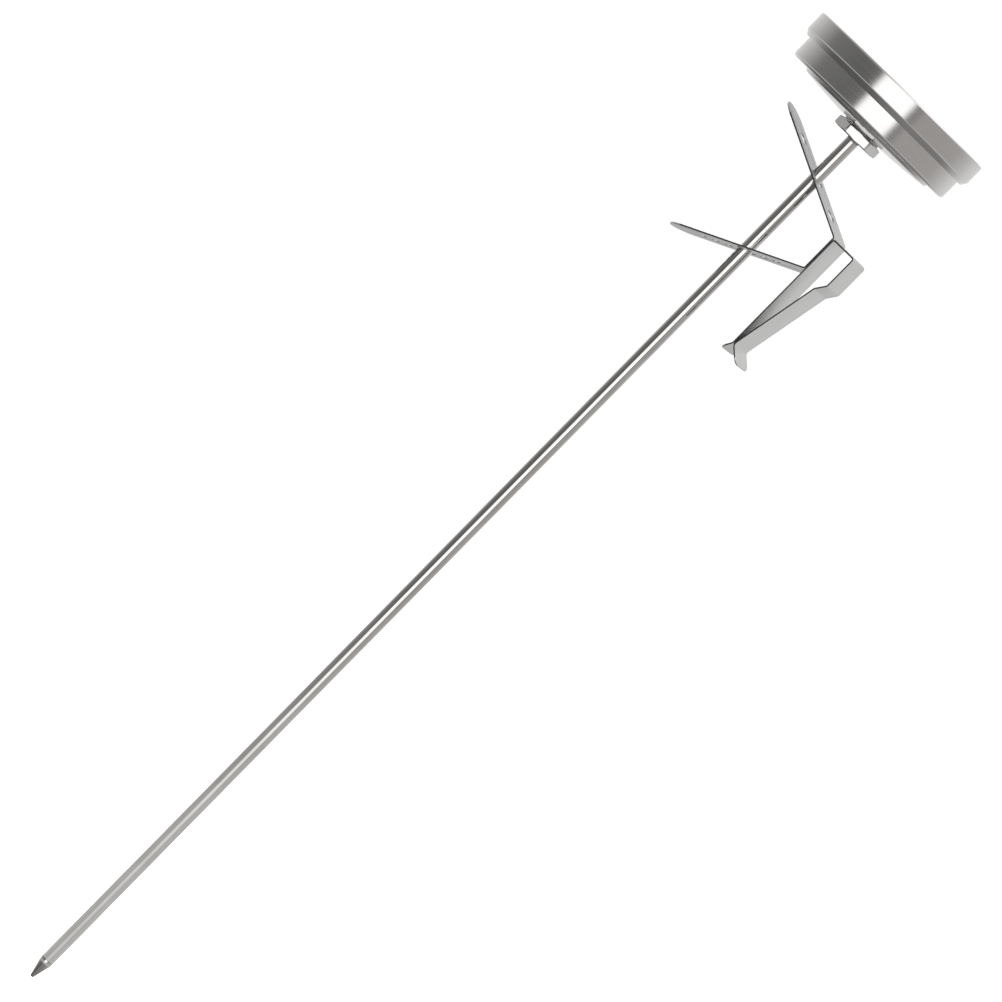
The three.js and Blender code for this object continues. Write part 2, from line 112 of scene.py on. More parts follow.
SHEET = 0.4
SHEET_EDGE = 0.07  # radius of the sheared edges
STRIP_WIDTH = 10
BEND_RADIUS = 0.6
LEG_X = 3.7  # the clip's legs are at this distance each side of the middle
BACK_X = -4.15
UPPER_BEND_Z = 0.6
LOWER_BEND_Z = -9.9
ARM_SPLAY = math.radians(24)
ARM_SQUEEZED = math.radians(16)
ARM_LENGTH = 39.8
SLOT_RADIUS = 2.05
SLOT_END_GAP = 0.12
UPPER_HOLE_RADIUS = 1.7
LOWER_HOLE_RADIUS = 1.2
UPPER_HOLES = (-11, 11)  # places along the arm, from the stem's axis
LOWER_HOLES = (-8.8, -5.2, 4.7, 8.5, 12.3)
CONTACT_Z = -35.7  # where the two legs nearly touch
JAW_CONTACT_X = -3.25
BRIDGE_SPLIT_X = 1.2  # where the clip's fixed sheet meets the jaw's, on the flat bridge
BACK_SPLIT_Z = -8.6  # where the bracket's two sheets meet, on the flat back plate

# The camera's azimuth is counted round +Z from -Y, and its distances are in millimetres.
CAMERA_AZIMUTH = math.radians(22.9)
CAMERA_DISTANCE = 1200
CAMERA_Z = 21.2
AIM_Z = -106
AIM_SIDE = 0.4
CAMERA_ROLL = math.radians(44.52)
CAMERA_LENS = 171

HEAD_SIDES = 256
STEM_SIDES = 64
CAP_SIDES = 96


# ---------------------------------------------------------------- mesh making
def new_object(name, bm):
    """A mesh object in metres from a bmesh in millimetres, smooth but for its sharp edges."""
    for face in bm.faces:
        face.smooth = True
    for edge in bm.edges:
        edge.smooth = edge.calc_face_angle(0) < math.radians(32)
    bmesh.ops.scale(bm, vec=(MM, MM, MM), verts=bm.verts)
    mesh = bpy.data.meshes.new(name)
    bm.to_mesh(mesh)
    bm.free()
    obj = bpy.data.objects.new(name, mesh)
    bpy.context.scene.collection.objects.link(obj)
    return obj


def fillet(points, radii, closed=False, steps=6):
    """A polyline with rounded corners, as (point, left normal) pairs. radii has one value per point."""
    points = [Vector(p) for p in points]
    count = len(points)
    out = []
    for i, point in enumerate(points):
        before = points[i - 1] if closed or i > 0 else None
        after = points[(i + 1) % count] if closed or i < count - 1 else None
        into = (point - before).normalized() if before is not None else (after - point).normalized()
        leave = (after - point).normalized() if after is not None else into
        turn = into.angle_signed(leave) * -1
        radius = radii[i]
        if radius == 0 or abs(turn) < 1e-4:
            normal = Vector((-into.y, into.x))
            if abs(turn) > 1e-4:
                normal = Vector((-into.y - leave.y, into.x + leave.x)).normalized()
            out.append((point, normal))
            continue
        setback = radius * math.tan(abs(turn) / 2)
        side = 1 if turn > 0 else -1
        centre = point - into * setback + Vector((-into.y, into.x)) * radius * side
        for k in range(steps + 1):
            angle = turn * k / steps
            normal = Matrix.Rotation(angle, 2) @ Vector((-into.y, into.x))
            out.append((centre - normal * radius * side, normal))
    return out


def turned(name, profile, sides, radii=None, steps=5):
    """A solid turned round the stem's axis. profile is its closed outline, of (radius, z) points."""
    corners = fillet(profile, radii or [0] * len(profile), closed=True, steps=steps)
    points = [p for p, _ in corners]
    bm = bmesh.new()
    rows = []
    for p in points:
        if p.x < 1e-6:
            rows.append([bm.verts.new((STEM_X, 0, p.y))] * sides)
            continue
        ring = []
        for k in range(sides):
            angle = 2 * math.pi * k / sides
            ring.append(bm.verts.new((STEM_X + p.x * math.cos(angle), p.x * math.sin(angle), p.y)))
        rows.append(ring)
    for i, row in enumerate(rows):
        above = rows[(i + 1) % len(rows)]
        for k in range(sides):
            n = (k + 1) % sides
            corner = [row[k], row[n], above[n], above[k]]
            distinct = list(dict.fromkeys(corner))
            if len(distinct) > 2:
                bm.faces.new(distinct)
    return new_object(name, bm)


def slab(name, shapes, bottom, top):
    """Flat shapes on the dial, each a thin closed solid. A shape is (points, faces) in dial coordinates."""
    bm = bmesh.new()
    for points, faces in shapes:
        low = [bm.verts.new(on_dial(u, v, bottom)) for u, v in points]
        high = [bm.verts.new(on_dial(u, v, top)) for u, v in points]
        edges = {}
        for face in faces:
            bm.faces.new([high[i] for i in face])
            bm.faces.new([low[i] for i in reversed(face)])
            for a, b in zip(face, face[1:] + face[:1]):
                edges[(a, b)] = True
        for a, b in edges:
            if (b, a) not in edges:
                bm.faces.new([high[a], low[a], low[b], high[b]])
    bmesh.ops.recalc_face_normals(bm, faces=bm.faces)
    return new_object(name, bm)


def on_dial(u, v, z):
    """A point of the dial, u to the right and v up as it is read: 12 o'clock is towards -X."""
    return (STEM_X - v, u, z)


def ribbon(points, width, closed=False):
    """A stroke of constant width along a polyline, as a shape for slab()."""
    line = fillet(points, [0] * len(points), closed=closed)
    sides = []
    for i, (p, normal) in enumerate(line):
        before = line[i - 1][0] if closed or i > 0 else None
        direction = (p - before).normalized() if before is not None else (line[1][0] - p).normalized()
        stretch = max(0.5, normal.dot(Vector((-direction.y, direction.x))))
        sides.append((p + normal * width / 2 / stretch, p - normal * width / 2 / stretch))
    flat = [tuple(q) for pair in sides for q in pair]
    count = len(sides)
    quads = []
    for i in range(count if closed else count - 1):
        n = (i + 1) % count
        quads.append([2 * i + 1, 2 * n + 1, 2 * n, 2 * i])
    return flat, quads


def arc_points(cx, cy, rx, ry, start, end, steps):
    """Points of an ellipse's arc, with the angles in degrees."""
    angles = [math.radians(start + (end - start) * i / steps) for i in range(steps + 1)]
    return [(cx + rx * math.cos(a), cy + ry * math.sin(a)) for a in angles]


def edged_plate(name, loops, thickness, edge):
    """A flat plate about z = 0, as a bmesh. loops are its outline and its holes, and edge rounds them."""
    curve = bpy.data.curves.new(name, "CURVE")
    curve.dimensions = "2D"
    curve.fill_mode = "BOTH"
    curve.extrude = thickness / 2 - edge
    curve.bevel_depth = edge
    curve.bevel_resolution = 2
    curve.offset = -edge
    for loop in loops:
        spline = curve.splines.new("POLY")
        kept = [p for i, p in enumerate(loop) if (Vector(p) - Vector(loop[i - 1])).length > 1e-4]
        spline.points.add(len(kept) - 1)
        for point, (x, y) in zip(spline.points, kept):
            point.co = (x, y, 0, 1)
        spline.use_cyclic_u = True
    holder = bpy.data.objects.new(name, curve)
    bpy.context.scene.collection.objects.link(holder)
    depsgraph = bpy.context.evaluated_depsgraph_get()
    mesh = bpy.data.meshes.new_from_object(holder.evaluated_get(depsgraph))
    bm = bmesh.new()
    bm.from_mesh(mesh)
    bpy.data.objects.remove(holder)
    bpy.data.curves.remove(curve)
    bpy.data.meshes.remove(mesh)
    bmesh.ops.remove_doubles(bm, verts=bm.verts, dist=1e-4)
    return bm


# ---------------------------------------------------------------- bent sheet
def sheet_blank(name, length, end_radius, holes):
    """The flat blank of a strip: its length along X, holes cut, edges rounded, and its far end rounded."""
    half = STRIP_WIDTH / 2
    outline = [(0, -half)]
    outline += arc_points(length - end_radius, -half + end_radius, end_radius, end_radius, -90, 0, 14)
    outline += arc_points(length - end_radius, half - end_radius, end_radius, end_radius, 0, 90, 14)
    outline += [(0, half)]
    return edged_plate(name, [outline, *holes], SHEET, SHEET_EDGE)


def bent_sheet(name, corners, radii, end_radius, holes=()):
    """A strip whose middle follows filleted (x, z) corners. A hole is a function of the blank's length."""
    line = fillet(corners, radii, steps=10)
    s = [0.0]
    for (a, _), (b, _) in zip(line, line[1:]):
        s.append(s[-1] + (b - a).length)
    length = s[-1]
    bm = sheet_blank(name, length, end_radius, [hole(length) for hole in holes])
    for value in s[1:-1]:
        geometry = bm.verts[:] + bm.edges[:] + bm.faces[:]
        bmesh.ops.bisect_plane(bm, geom=geometry, plane_co=(value, 0, 0), plane_no=(1, 0, 0), dist=1e-5)
    uv = bm.loops.layers.uv.new("strip")
    for face in bm.faces:
        for loop in face.loops:
            loop[uv].uv = (loop.vert.co.x, loop.vert.co.y)
    for vert in bm.verts:
        x = min(max(vert.co.x, 0), length)
        i = min(max(int(np.searchsorted(s, x)) - 1, 0), len(s) - 2)
        share = (x - s[i]) / (s[i + 1] - s[i])
        point = line[i][0].lerp(line[i + 1][0], share)
        normal = line[i][1].lerp(line[i + 1][1], share).normalized()
        placed = point + normal * vert.co.z
        vert.co = (placed.x, vert.co.y, placed.y)
    bmesh.ops.recalc_face_normals(bm, faces=bm.faces)
    return new_object(name, bm)


def stem_along_arm(splay):
    """How far from an arm's root the stem's axis crosses it."""
    return (BACK_X - BEND_RADIUS - STEM_X + BEND_RADIUS * math.sin(splay)) / math.cos(splay)


def stem_half_section(splay):
    """Half the length that the stem takes up along an arm."""
    return STEM_RADIUS / math.cos(splay) + SHEET / 2 * math.tan(splay)


ARM_SETBACK = BEND_RADIUS * math.tan((math.pi / 2 - ARM_SPLAY) / 2)


def arm_slot(length):
    """The obround hole that the stem runs in, at rest and squeezed. length is the whole blank's."""
    root = length - (ARM_LENGTH - ARM_SETBACK)
    end = SLOT_END_GAP - SLOT_RADIUS
    outer = root + stem_along_arm(ARM_SPLAY) + stem_half_section(ARM_SPLAY) + end
    inner = root + stem_along_arm(ARM_SQUEEZED) - stem_half_section(ARM_SQUEEZED) - end
    near_root = arc_points(inner, 0, SLOT_RADIUS, SLOT_RADIUS, 90, 270, 20)
    near_tip = arc_points(outer, 0, SLOT_RADIUS, SLOT_RADIUS, -90, 90, 20)
    return near_root + near_tip


def arm_hole(offset, radius):
    def hole(length):
        root = length - (ARM_LENGTH - ARM_SETBACK)
        return arc_points(root + stem_along_arm(ARM_SPLAY) + offset, 0, radius, radius, 0, 360, 28)[:-1]

    return hole


def build_bracket():
    """Two sheets that meet on the flat back plate, each with one arm."""
    tip_x = BACK_X - ARM_LENGTH * math.cos(ARM_SPLAY)
    rise = ARM_LENGTH * math.sin(ARM_SPLAY)
    upper_corners = [(BACK_X, BACK_SPLIT_Z), (BACK_X, UPPER_BEND_Z), (tip_x, UPPER_BEND_Z + rise)]
    lower_corners = [(BACK_X, BACK_SPLIT_Z), (BACK_X, LOWER_BEND_Z), (tip_x, LOWER_BEND_Z - rise)]
    tip_radius = STRIP_WIDTH / 2 - 0.02
    upper_holes = [arm_slot] + [arm_hole(offset, UPPER_HOLE_RADIUS) for offset in UPPER_HOLES]
    lower_holes = [arm_slot] + [arm_hole(offset, LOWER_HOLE_RADIUS) for offset in LOWER_HOLES]
    upper = bent_sheet("bracket_upper_sheet", upper_corners, [0, BEND_RADIUS, 0], tip_radius, upper_holes)
    lower = bent_sheet("bracket_lower_sheet", lower_corners, [0, BEND_RADIUS, 0], tip_radius, lower_holes)
    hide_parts("upper_arm", "bracket_back")
    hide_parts("lower_arm")
    arms = [(upper, "clip_upper_arm", UPPER_BEND_Z, 1), (lower, "clip_lower_arm", LOWER_BEND_Z, -1)]
    for sheet, limb, bend_z, up in arms:
        sheet.data.materials.append(sheet_steel)
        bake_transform(sheet)


def build_pan_clip():
    """The inverted U: a fixed sheet with the inner leg, and the jaw's sheet, which meet on the bridge."""
    bridge_z = SHEET / 2
    inner = [
        (BRIDGE_SPLIT_X, bridge_z),
        (-LEG_X, bridge_z),
        (-LEG_X, CONTACT_Z),
        (-LEG_X - 1.7, CONTACT_Z - 2.7),
    ]
    fixed = bent_sheet("clip_fixed_sheet", inner, [0, BEND_RADIUS, 1.6, 0], 1.5)
    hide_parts("pan_clip")
    outer = [
        (BRIDGE_SPLIT_X, bridge_z),
        (LEG_X, bridge_z),
        (LEG_X, -9.1),
        (LEG_X - 2, -11.8),
        (JAW_CONTACT_X, CONTACT_Z),
        (JAW_CONTACT_X + 4, CONTACT_Z - 3.3),
    ]
    jaw = bent_sheet("clip_jaw_sheet", outer, [0, BEND_RADIUS, 0.9, 1.6, 1.3, 0], 2)
    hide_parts("pan_clip_jaw")
    for sheet in (fixed, jaw):
        sheet.data.materials.append(sheet_steel)
    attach(fixed, "clip")
    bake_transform(jaw)


# ---------------------------------------------------------------- node helpers
def material(name):
    made = bpy.data.materials.new(name)
    made.use_nodes = True
    nodes = made.node_tree.nodes
    nodes.clear()
    output = nodes.new("ShaderNodeOutputMaterial")
    shader = nodes.new("ShaderNodeBsdfPrincipled")
    made.node_tree.links.new(shader.outputs[0], output.inputs[0])
    return made, made.node_tree, shader


def add(tree, kind, **values):
    node = tree.nodes.new("ShaderNode" + kind)
    for key, value in values.items():
        setattr(node, key, value)
    return node


def feed(tree, socket, value):
    """Sets a socket to a number, or links another socket to it."""
    if isinstance(value, (int, float)):
        socket.default_value = value
    else:
        tree.links.new(value, socket)


def math_node(tree, operation, a, b=None):
    node = add(tree, "Math", operation=operation)
    feed(tree, node.inputs[0], a)
    if b is not None:
        feed(tree, node.inputs[1], b)
    return node.outputs[0]


def scaled(tree, value, factor):
    return math_node(tree, "MULTIPLY", value, factor)


def axis_coordinates(tree):
    """(radius, angle, height) of the shaded point about the stem's axis, in metres and radians."""
    coordinates = add(tree, "TexCoord")
    split = add(tree, "SeparateXYZ")
    tree.links.new(coordinates.outputs["Object"], split.inputs[0])
    x = math_node(tree, "SUBTRACT", split.outputs[0], STEM_X * MM)
    y = split.outputs[1]
    squared = math_node(tree, "ADD", math_node(tree, "MULTIPLY", x, x), math_node(tree, "MULTIPLY", y, y))
    return math_node(tree, "SQRT", squared), math_node(tree, "ARCTAN2", y, x), split.outputs[2]


def combine(tree, x, y, z):
    node = add(tree, "CombineXYZ")
    for socket, value in zip(node.inputs, (x, y, z)):
        feed(tree, socket, value)
    return node.outputs[0]


def noise(tree, vector, scale, detail=3.0, roughness=0.5):
    node = add(tree, "TexNoise")
    node.inputs["Scale"].default_value = scale
    node.inputs["Detail"].default_value = detail
    node.inputs["Roughness"].default_value = roughness
    tree.links.new(vector, node.inputs["Vector"])
    return node.outputs["Fac"]


def remap(tree, value, low, high):
    """A noise value, mostly 0.3 to 0.7, spread from low to high."""
    node = add(tree, "MapRange")
    node.inputs["From Min"].default_value = 0.3
    node.inputs["From Max"].default_value = 0.7
    node.inputs["To Min"].default_value = low
    node.inputs["To Max"].default_value = high
    tree.links.new(value, node.inputs["Value"])
    return node.outputs["Result"]


def tint(tree, shader, value, dark, light):
    """Base colour from dark to light as value goes over the noise's range. It gives the colour's socket."""
    ramp = add(tree, "ValToRGB")
    ramp.color_ramp.elements[0].position = 0.3
    ramp.color_ramp.elements[0].color = (*dark, 1)
    ramp.color_ramp.elements[1].position = 0.7
    ramp.color_ramp.elements[1].color = (*light, 1)
    tree.links.new(value, ramp.inputs[0])
    tree.links.new(ramp.outputs[0], shader.inputs["Base Color"])
    return ramp.outputs[0]


def bump(tree, shader, height, strength, distance):
    node = add(tree, "Bump")
    node.inputs["Strength"].default_value = strength
    node.inputs["Distance"].default_value = distance
    tree.links.new(height, node.inputs["Height"])
    tree.links.new(node.outputs[0], shader.inputs["Normal"])


def object_vector(tree):
    return add(tree, "TexCoord").outputs["Object"]


def mixed_colour(tree, factor, first, second):
    """first where the factor is 0, and second, a socket or a plain grey, where it is 1."""
    node = add(tree, "MixRGB")
    tree.links.new(factor, node.inputs[0])
    tree.links.new(first, node.inputs[1])
    if isinstance(second, float):
        node.inputs[2].default_value = (second, second, second, 1)
    else:
        tree.links.new(second, node.inputs[2])
    return node.outputs[0]


def smooth_range(tree, value, low, high):
    """0 below low and 1 above high, and smooth between them."""
    node = add(tree, "MapRange", interpolation_type="SMOOTHSTEP")
    node.inputs["From Min"].default_value = low
    node.inputs["From Max"].default_value = high
    tree.links.new(value, node.inputs["Value"])
    return node.outputs["Result"]


# ---------------------------------------------------------------- materials
EDGE_SHADE_GREY = 0.12  # painted shade: a dark grey on the strip's sheared edges


def turned_steel_material():
    """Stainless steel from a lathe, with fine rings on flat faces and round walls alike."""
    made, tree, shader = material("turned_steel")
    radius, angle, height = axis_coordinates(tree)
    rings = noise(tree, combine(tree, radius, scaled(tree, angle, 0.00025), height), 9000, 2)
    cloud = noise(tree, object_vector(tree), 60, 3)
    shader.inputs["Metallic"].default_value = 1
    mixed = math_node(tree, "ADD", scaled(tree, rings, 0.6), scaled(tree, cloud, 0.4))
    tint(tree, shader, mixed, (0.585, 0.575, 0.565), (0.65, 0.64, 0.63))
    tree.links.new(remap(tree, rings, 0.13, 0.19), shader.inputs["Roughness"])
    bump(tree, shader, rings, 0.1, 0.00002)
    return made


def stem_steel_material():
    """Drawn stainless tube: bright, with faint lines along its length."""
    made, tree, shader = material("stem_steel")
    radius, angle, height = axis_coordinates(tree)
    along = combine(tree, scaled(tree, angle, 0.002), radius, scaled(tree, height, 0.01))
    lines = noise(tree, along, 9000, 2)
    cloud = noise(tree, object_vector(tree), 90, 3)
    shader.inputs["Metallic"].default_value = 1
    tint(tree, shader, cloud, (0.57, 0.56, 0.54), (0.66, 0.65, 0.635))
    tree.links.new(remap(tree, lines, 0.06, 0.11), shader.inputs["Roughness"])
    bump(tree, shader, lines, 0.15, 0.00001)
    return made


def sheet_steel_material():
    """Rolled stainless strip: satin, with rolling lines along the strip and painted shade darkening its
    sheared edges.
    """
    made, tree, shader = material("sheet_steel")
    uv = add(tree, "UVMap", uv_map="strip")
    split = add(tree, "SeparateXYZ")
    tree.links.new(uv.outputs[0], split.inputs[0])
    along = combine(tree, scaled(tree, split.outputs[0], 0.05), split.outputs[1], 0)
    lines = noise(tree, along, 2.2, 2)
    cloud = noise(tree, object_vector(tree), 110, 4)
    shader.inputs["Metallic"].default_value = 1
    mixed = math_node(tree, "ADD", scaled(tree, lines, 0.5), scaled(tree, cloud, 0.5))
    face_colour = tint(tree, shader, mixed, (0.60, 0.598, 0.592), (0.69, 0.688, 0.682))
    edge = STRIP_WIDTH / 2
    from_middle = math_node(tree, "ABSOLUTE", split.outputs[1])
    # painted shade: the sheared edges are coloured dark grey in place of the shade that falls on them
    edge_shade = smooth_range(tree, from_middle, edge - 0.09, edge - 0.03)
    tree.links.new(mixed_colour(tree, edge_shade, face_colour, EDGE_SHADE_GREY), shader.inputs["Base Color"])
    tree.links.new(remap(tree, mixed, 0.3, 0.38), shader.inputs["Roughness"])
    bump(tree, shader, lines, 0.05, 0.00002)
    return made


def plain_material(name, metallic, dark, light, roughness, scale=300, bump_strength=0.1, coat=0.0):
    """A finish with a fine cloud in its colour and roughness, and a faint unevenness."""
    made, tree, shader = material(name)
    cloud = noise(tree, object_vector(tree), scale, 4, 0.6)
    shader.inputs["Metallic"].default_value = metallic
    shader.inputs["Coat Weight"].default_value = coat
    tint(tree, shader, cloud, dark, light)
    tree.links.new(remap(tree, cloud, roughness - 0.05, roughness + 0.05), shader.inputs["Roughness"])
    bump(tree, shader, cloud, bump_strength, 0.00003)
    if metallic == 0:
        shader.inputs["Specular IOR Level"].default_value = 0.25
    return made


def glass_material():
    """Flat window glass: clear, with a reflection that grows towards grazing."""
    made, tree, shader = material("lens_glass")
    tree.nodes.remove(shader)
    clear = add(tree, "BsdfTransparent")
    clear.inputs[0].default_value = (0.985, 0.988, 0.988, 1)
    gloss = add(tree, "BsdfGlossy")
    gloss.inputs["Roughness"].default_value = 0.02
    weight = add(tree, "LayerWeight")
    weight.inputs["Blend"].default_value = 0.5
    grazing = math_node(tree, "POWER", weight.outputs["Facing"], 5)
    reflection = math_node(tree, "ADD", scaled(tree, grazing, 0.6), 0.01)
    smear = noise(tree, object_vector(tree), 45, 3)
    surface = add(tree, "Bump")
    surface.inputs["Strength"].default_value = 0.02
    surface.inputs["Distance"].default_value = 0.00005
    tree.links.new(smear, surface.inputs["Height"])
    tree.links.new(surface.outputs[0], gloss.inputs["Normal"])
    mix = add(tree, "MixShader")
    tree.links.new(reflection, mix.inputs[0])
    tree.links.new(clear.outputs[0], mix.inputs[1])
    tree.links.new(gloss.outputs[0], mix.inputs[2])
    output = next(n for n in tree.nodes if n.type == "OUTPUT_MATERIAL")
    tree.links.new(mix.outputs[0], output.inputs[0])
    return made


turned_steel = turned_steel_material()
stem_steel = stem_steel_material()
sheet_steel = sheet_steel_material()
spring_steel = plain_material("spring_steel", 1, (0.32, 0.33, 0.35), (0.45, 0.45, 0.46), 0.35)
brass = plain_material("brass", 1, (0.5, 0.37, 0.15), (0.68, 0.52, 0.24), 0.3)
dial_paint = plain_material("dial_paint", 0, (0.70, 0.70, 0.71), (0.76, 0.76, 0.77), 0.45, 700, 0.06)
red_paint = plain_material("red_paint", 0, (0.45, 0.010, 0.018), (0.55, 0.016, 0.026), 0.45, 900, 0.15, 0.1)
cream_plastic = plain_material(
    "cream_plastic", 0, (0.88, 0.86, 0.64), (0.94, 0.92, 0.70), 0.35, 900, 0.08, coat=0.2
)
grey_plastic = plain_material("grey_plastic", 0, (0.41, 0.41, 0.42), (0.46, 0.46, 0.47), 0.6, 800, 0.1)
black_rubber = plain_material("black_rubber", 0, (0.012, 0.012, 0.013), (0.03, 0.03, 0.03), 0.75, 600, 0.3)
grey_rubber = plain_material("grey_rubber", 0, (0.24, 0.24, 0.24), (0.32, 0.32, 0.315), 0.7, 600, 0.3)
black_ink = plain_material("black_ink", 0, (0.012, 0.012, 0.014), (0.025, 0.025, 0.028), 0.5, 900, 0.05)
band_ink = plain_material("band_ink", 0, (0.50, 0.125, 0.055), (0.60, 0.155, 0.07), 0.5, 900, 0.05)
brick_ink = plain_material("brick_ink", 0, (0.58, 0.08, 0.035), (0.68, 0.10, 0.045), 0.5, 900, 0.05)
lens_glass = glass_material()


def finish_piece(obj, made, body, slot, *nodes):
    """Gives a piece its material and its CAD body, and hides the CAD nodes that it stands for. slot is not
    used.
    """
    obj.data.materials.append(made)
    if nodes:
        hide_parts(*nodes)
    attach(obj, body)
    return obj


# ---------------------------------------------------------------- stem
def build_stem():
    tube = [
        (TUBE_BORE_RADIUS, stem_low.z),
        (STEM_RADIUS, stem_low.z),
        (STEM_RADIUS, stem_high.z),
        (TUBE_BORE_RADIUS, stem_high.z),
    ]
    pipe = turned("stem_tube_drawn", tube, STEM_SIDES, [0, 0.04, 0.1, 0])
    finish_piece(pipe, stem_steel, "stem", "stem_steel", "stem_tube")
    point = [
        (0, TIP_Z),
        (POINT_END_RADIUS, TIP_Z),
        (STEM_RADIUS, TIP_Z + POINT_LENGTH),
        (STEM_RADIUS, POINT_TOP),
        (SPIGOT_RADIUS, POINT_TOP),
        (SPIGOT_RADIUS, POINT_TOP + SPIGOT_LENGTH),
        (0, POINT_TOP + SPIGOT_LENGTH),
    ]
    tip = turned("stem_point_ground", point, STEM_SIDES, [0, 0.22, 2.5, 0.04, 0, 0.1, 0])
    finish_piece(tip, stem_steel, "stem_point", "stem_steel", "stem_point")
    profile = [
        (STEM_RADIUS + GAP, hub_low.z),
        (HUB_RADIUS, hub_low.z),
        (HUB_RADIUS, hub_high.z),
        (HUB_BORE_RADIUS, hub_high.z),
        (HUB_BORE_RADIUS, stem_high.z + GAP),
        (STEM_RADIUS + GAP, stem_high.z + GAP),
    ]
    hub = turned("stem_hub_turned", profile, STEM_SIDES, [0, 0.2, 0.2, 0, 0, 0])
    finish_piece(hub, turned_steel, "stem", "stem_steel", "stem_hub")


def build_nut():
    """A hexagon with softened corners, turned down by a cone at each end, round a bore."""
    sides = 360
    flat = NUT_FLATS / 2
    corner = flat / math.cos(math.pi / 6) * NUT_CORNER
    height = nut_high.z - nut_low.z
    chamfer = [(0, 5.85), (0.04, 5.98), (0.26, 6.72), (0.42, 7.5)]  # the cone's (depth, radius), eased in
    levels = [(r, z) for z, r in chamfer] + [(r, height - z) for z, r in reversed(chamfer)]
    bore = NUT_BORE_RADIUS
    bm = bmesh.new()

    def hexagon(angle):
        local = (angle - NUT_TURN + math.pi / 6) % (math.pi / 3) - math.pi / 6
        return min(flat / math.cos(local), corner)

    outline = [("bore", bore, nut_low.z + 0.15), ("bore", bore + 0.15, nut_low.z)]
    outline += [("hex", r, nut_low.z + z) for r, z in levels]
    outline += [("bore", bore, nut_high.z)]
    rings = []
    for kind, radius, z in outline:
        ring = []
        for k in range(sides):
            angle = 2 * math.pi * k / sides
            r = min(radius, hexagon(angle)) if kind == "hex" else radius
            ring.append(bm.verts.new((STEM_X + r * math.cos(angle), r * math.sin(angle), z)))
        rings.append(ring)
    for i, ring in enumerate(rings):
        above = rings[(i + 1) % len(rings)]
        for k in range(sides):
            n = (k + 1) % sides
            bm.faces.new([ring[k], ring[n], above[n], above[k]])
    nut = new_object("hex_nut_machined", bm)
    finish_piece(nut, turned_steel, "stem", "turned_steel", "hex_nut")


# ---------------------------------------------------------------- head
def build_case():
    """The pressed cup: a shallow dome with a flat middle, a step, a straight wall and a flange."""
    rear = case_low.z + REAR_RISE
    hole = CASE_HOLE_RADIUS
    flat = 7
    dome = []
    for r in (flat, 10.5, 14, 17.5, DOME_RADIUS - 0.3):
        share = (r ** 2 - flat ** 2) / (DOME_RADIUS ** 2 - flat ** 2)
        dome.append((r, case_low.z + DOME_EDGE_RISE * share))
    flange = case_high.z - CASE_WALL
    outside = [
        (hole, case_low.z),
        *dome,
        (DOME_RADIUS + 0.1, rear),
        (CASE_RADIUS, rear),
        (CASE_RADIUS, flange),
        (FLANGE_RADIUS, flange),
        (FLANGE_RADIUS, case_high.z),
    ]
    inside = [
        (CASE_RADIUS - CASE_WALL, case_high.z),
        (CASE_RADIUS - CASE_WALL, rear + CASE_WALL),
        (DOME_RADIUS - 0.5, rear + CASE_WALL),
        *[(r, z + CASE_WALL) for r, z in reversed(dome[:-1])],
        (hole, case_low.z + CASE_WALL),
    ]
    radii = [0.1, 3, 3, 3, 3, 0.35, 0.3, 1.0, 0.3, 0.1, 0.2] + [0.5, 0.5, 0.3, 0, 0, 0, 0, 0]
    shell = turned("case_shell_pressed", outside + inside, HEAD_SIDES, radii, 6)
    finish_piece(shell, turned_steel, "case", "turned_steel", "case_shell")


def build_bezel():
    """The spun front ring: a flat face, a straight side and a lip rolled in behind the case's flange."""
    inside = BEZEL_RADIUS - BEZEL_WALL - GAP
    profile = [
        (CASE_RADIUS + GAP, bezel_low.z),
        (CASE_RADIUS + 1.0, bezel_low.z),
        (BEZEL_RADIUS, bezel_low.z + 1.5),
        (BEZEL_RADIUS, FRONT_Z),
        (BEZEL_OPENING, FRONT_Z),
        (BEZEL_OPENING, FRONT_Z - BEZEL_WALL),
        (inside, FRONT_Z - BEZEL_WALL),
        (inside, bezel_low.z + 2.1),
        (CASE_RADIUS + GAP, bezel_low.z + 0.8),
    ]
    radii = [0.1, 0.5, 1.2, 0.45, 0.25, 0.15, 0.2, 0.3, 0]
    ring = turned("bezel_ring_spun", profile, HEAD_SIDES, radii, 7)
    finish_piece(ring, turned_steel, "case", "turned_steel", "bezel_ring")


def build_window():
    flat = LENS_RADIUS - 0.8  # rings of points here, and near the dial's edges, keep flat faces shaded flat
    lens = [
        (0, lens_low.z),
        (flat, lens_low.z),
        (LENS_RADIUS, lens_low.z),
        (LENS_RADIUS, lens_high.z),
        (flat, lens_high.z),
        (0, lens_high.z),
    ]
    window = turned("lens_ground", lens, HEAD_SIDES, [0, 0, 0.25, 0.25, 0, 0], 3)
    finish_piece(window, lens_glass, "case", "lens_glass", "lens")
    lip = BEZEL_OPENING + 0.3
    profile = [
        (LENS_RADIUS + GAP, gasket_low.z),
        (GASKET_RADIUS, gasket_low.z),
        (GASKET_RADIUS, gasket_high.z),
        (lip, gasket_high.z),
        (lip, lens_high.z + GAP),
        (LENS_RADIUS + GAP, lens_high.z + GAP),
    ]
    gasket = turned("lens_gasket_moulded", profile, HEAD_SIDES, [0, 0.2, 0.2, 0.1, 0.1, 0])
    finish_piece(gasket, black_rubber, "case", "gasket_rubber", "lens_gasket")


